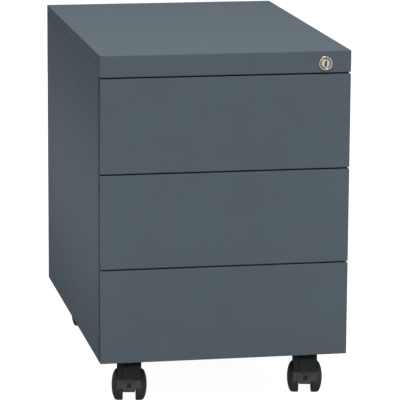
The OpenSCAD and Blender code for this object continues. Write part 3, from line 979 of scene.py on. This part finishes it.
def make_castors():
    pivot = Vector(JOINTS["swivel_front_left"]["pos_m"])
    trail = (pivot - castor_place("front_left").translation).to_2d().length
    hood, wheel = hood_mesh(trail), wheel_mesh()
    for c in CASTORS:
        place = castor_place(c)
        add_piece(f"castor_{c}_hood", gathered("hood", [hood], [place]), "castor_hood_" + c)
        side = SIDES[c.split("_")[1]]
        for end, way in (("outer", side), ("inner", -side)):
            mesh = gathered("wheel", [wheel], [place @ wheel_turn(way)])
            ease(add_piece(f"castor_{c}_{end}_wheel", mesh, f"wheel_{end}_{c}"), 0.2 * MM, 2, 40)


def make_castor_plates():
    """Square plates over the castors, each with a hole for its stem, and four screws in each."""
    pivots = [Vector(JOINTS["swivel_" + c]["pos_m"]).to_2d().to_3d() for c in CASTORS]
    stems = [Matrix.Translation(pivot) for pivot in pivots]
    lo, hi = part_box("castor_plates")
    through = (lo.z - MM, hi.z + MM)
    square = corners_of((-PLATE_HALF, PLATE_HALF), (-PLATE_HALF, PLATE_HALF))
    plate = block(rounded(square, 5 * MM, 8, True), Z, lo.z, hi.z)
    corners = [Vector((x * SCREW_SET, y * SCREW_SET, 0)) for x in (-1, 1) for y in (-1, 1)]
    holes = [rod(2.6 * MM, through, 32, Matrix.Translation(corner)) for corner in corners]
    plate = combined(plate, "DIFFERENCE", holes + [rod(5 * MM, through, 48)])
    plates = gathered("plates", [plate], stems)
    ease(add_piece("castor_mounting_plates", plates, "castor_plates"), 0.25 * MM)
    screw = screw_mesh(4 * MM, 2 * MM, 2.5 * MM, 6.8 * MM)
    under = Vector((0, 0, lo.z))
    seats = [stem @ Matrix.Translation(corner + under) for stem in stems for corner in corners]
    screws = gathered("screws", [screw], seats)
    ease(add_piece("castor_pan_head_screws", screws, "castor_screws"), 0.1 * MM)


def make_ball_cages():
    """Balls in their strips, in both races of each drawer's slides, which ride the middle members."""
    for n in DRAWERS:
        lo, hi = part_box(f"slide_middles_{n}")
        centre = slide_centre(n)
        middle_y = (lo.y + hi.y) / 2
        # Each race's strip, lip and balls inwards of the web, its rise, its balls' radius and its run
        races = (
            (-1.1 * MM, 5.3 * MM, 3.3 * MM, 19.4 * MM, 1.85 * MM, (middle_y, hi.y - 3 * MM)),
            (1.9 * MM, 6.3 * MM, 4.8 * MM, 14.55 * MM, 1.65 * MM, (lo.y + 3 * MM, middle_y)),
        )
        strips, balls = bmesh.new(), bmesh.new()
        for s in SIDES.values():
            for strip_in, lip_in, ball_in, rise, radius, run in races:
                half = rise + CAGE_T / 2
                heights = (centre - half, centre + half)
                channel(strips, s, hi.x - strip_in, hi.x - lip_in, heights, run, CAGE_T, 0.8 * MM)
                count = int((run[1] - run[0] - 6 * MM) / BALL_PITCH)
                for k in range(count + 1):
                    y = run[0] + 4 * MM + k * BALL_PITCH
                    for z in (centre - rise, centre + rise):
                        place = Matrix.Translation((s * (hi.x - ball_in), y, z))
                        bmesh.ops.create_icosphere(balls, subdivisions=2, radius=radius, matrix=place)
        node = f"slide_middles_{n}"
        ease(add_detail(f"drawer_{n}_ball_cages", mesh_of("cages", strips), node), 0.1 * MM, 1)
        add_detail(f"drawer_{n}_slide_balls", mesh_of("balls", balls), node)


# ---------- CAD nodes that stay, with their edges eased ----------


def ease_node(name, width):
    """Joins a CAD node's facets to whole faces and rounds its sharp edges."""
    obj = frame["nodes"][name]
    weld = obj.modifiers.new("weld", "WELD")
    weld.merge_threshold = 0.002 * MM
    whole = obj.modifiers.new("whole faces", "DECIMATE")
    whole.decimate_type = "DISSOLVE"
    whole.angle_limit = math.radians(0.5)
    ease(obj, width)


# ---------- camera, floor and light ----------


def look(yaw, pitch, roll):
    """Axes of a camera that looks along +Y turned by yaw to +X, down by pitch, and rolled."""
    forward = Vector((math.sin(yaw) * math.cos(pitch), math.cos(yaw) * math.cos(pitch), -math.sin(pitch)))
    right = Vector((math.cos(yaw), -math.sin(yaw), 0))
    up = right.cross(forward)
    turn = Matrix.Rotation(-roll, 3, forward)
    return turn @ right, turn @ up, forward


def make_camera():
    """A long lens from the left of the front, a little above the top."""
    yaw, pitch, roll = 10.96, 11.678, 0.3516
    distance = 4.4252
    target = Vector((0.01711, 0.00086, 0.26254))
    data = bpy.data.cameras.new("camera")
    data.sensor_width = 36
    data.lens = 241.95
    data.clip_end = 200
    camera = bpy.data.objects.new("camera", data)
    bpy.context.scene.collection.objects.link(camera)
    right, up, forward = look(math.radians(yaw), math.radians(pitch), math.radians(roll))
    axes = Matrix((right, up, -forward)).transposed().to_4x4()
    camera.matrix_world = Matrix.Translation(target - forward * distance) @ axes
    bpy.context.scene.camera = camera


def area_light(name, place, aim, width, height, watts):
    """A soft lamp, slightly warm, that lights the object but isn't seen itself."""
    data = bpy.data.lights.new(name, "AREA")
    data.shape = "RECTANGLE"
    data.size = width
    data.size_y = height
    data.energy = watts
    data.color = (1, 0.97, 0.935)
    light = bpy.data.objects.new(name, data)
    bpy.context.scene.collection.objects.link(light)
    light.visible_camera = False
    light.location = place
    light.rotation_mode = "QUATERNION"
    light.rotation_quaternion = (Vector(aim) - Vector(place)).to_track_quat("-Z", "Y")
    return light


def add_stage(name, corners, faces, material):
    """Part of the white surroundings. It glows, but neither lights the object nor shines in it."""
    mesh = bpy.data.meshes.new(name)
    mesh.from_pydata(corners, [], faces)
    mesh.materials.append(material)
    stage = bpy.data.objects.new(name, mesh)
    bpy.context.scene.collection.objects.link(stage)
    stage.visible_diffuse = False
    stage.visible_glossy = False
    return stage


def make_studio():
    """A white floor and backdrop, a dim cool sky, and soft lamps all round."""
    shade = Shader(
        "floor", Specular_IOR_Level=0.0, Roughness=1.0, Base_Color=(0.2, 0.2, 0.2, 1),
        Emission_Color=(1, 1, 1, 1), Emission_Strength=0.96,
    )
    size = 20
    low = [(-size, -size, 0), (size, -size, 0), (size, size, 0), (-size, size, 0)]
    high = [(x, y, size) for x, y, _ in low]
    walls = [(i, (i + 1) % 4, (i + 1) % 4 + 4, i + 4) for i in range(4)]
    add_stage("floor", low, [(0, 1, 2, 3)], shade.material)
    add_stage("backdrop", low + high, walls, shade.material).visible_shadow = False
    world = bpy.data.worlds.new("studio")
    world.use_nodes = True
    sky = world.node_tree.nodes["Background"]
    sky.inputs["Color"].default_value = (0.91, 1, 1.1, 1)
    sky.inputs["Strength"].default_value = 0.3
    bpy.context.scene.world = world
    area_light("overhead", (-0.1, -0.7, 3.0), (0, 0, 0.3), 1.4, 1.4, 81)
    area_light("front", (0.3, -3.0, 0.3), (0, 0, 0.3), 3.0, 3.6, 47.5)
    area_light("back", (0, 3.0, 0.3), (0, 0, 0.3), 2.4, 2.4, 38).visible_glossy = False
    strip_x, strip_y, strip_z = 0.475, -0.05, 0.28
    for side, s in SIDES.items():
        place = (s * strip_x, strip_y, strip_z)
        area_light(side + "_strip", place, (0, strip_y, strip_z), 1.4, 0.1, 1.28)
    bpy.context.scene.view_settings.view_transform = "Standard"


for name, obj in frame["nodes"].items():
    obj.data.materials.clear()
    obj.data.materials.append(MATERIALS[NODE_SLOT[name]])

make_top_cover()
make_sides()
make_back()
make_base()
for n in DRAWERS:
    make_drawer_front(n)
    make_tray(n)
make_slides()
make_ball_cages()
make_lock_ring()
make_lock_plug()
make_castors()
make_castor_plates()

kept_nodes = [name for name, obj in frame["nodes"].items() if not obj.hide_render]
for name in kept_nodes:
    ease_node(name, 0.3 * MM)

make_camera()
make_studio()
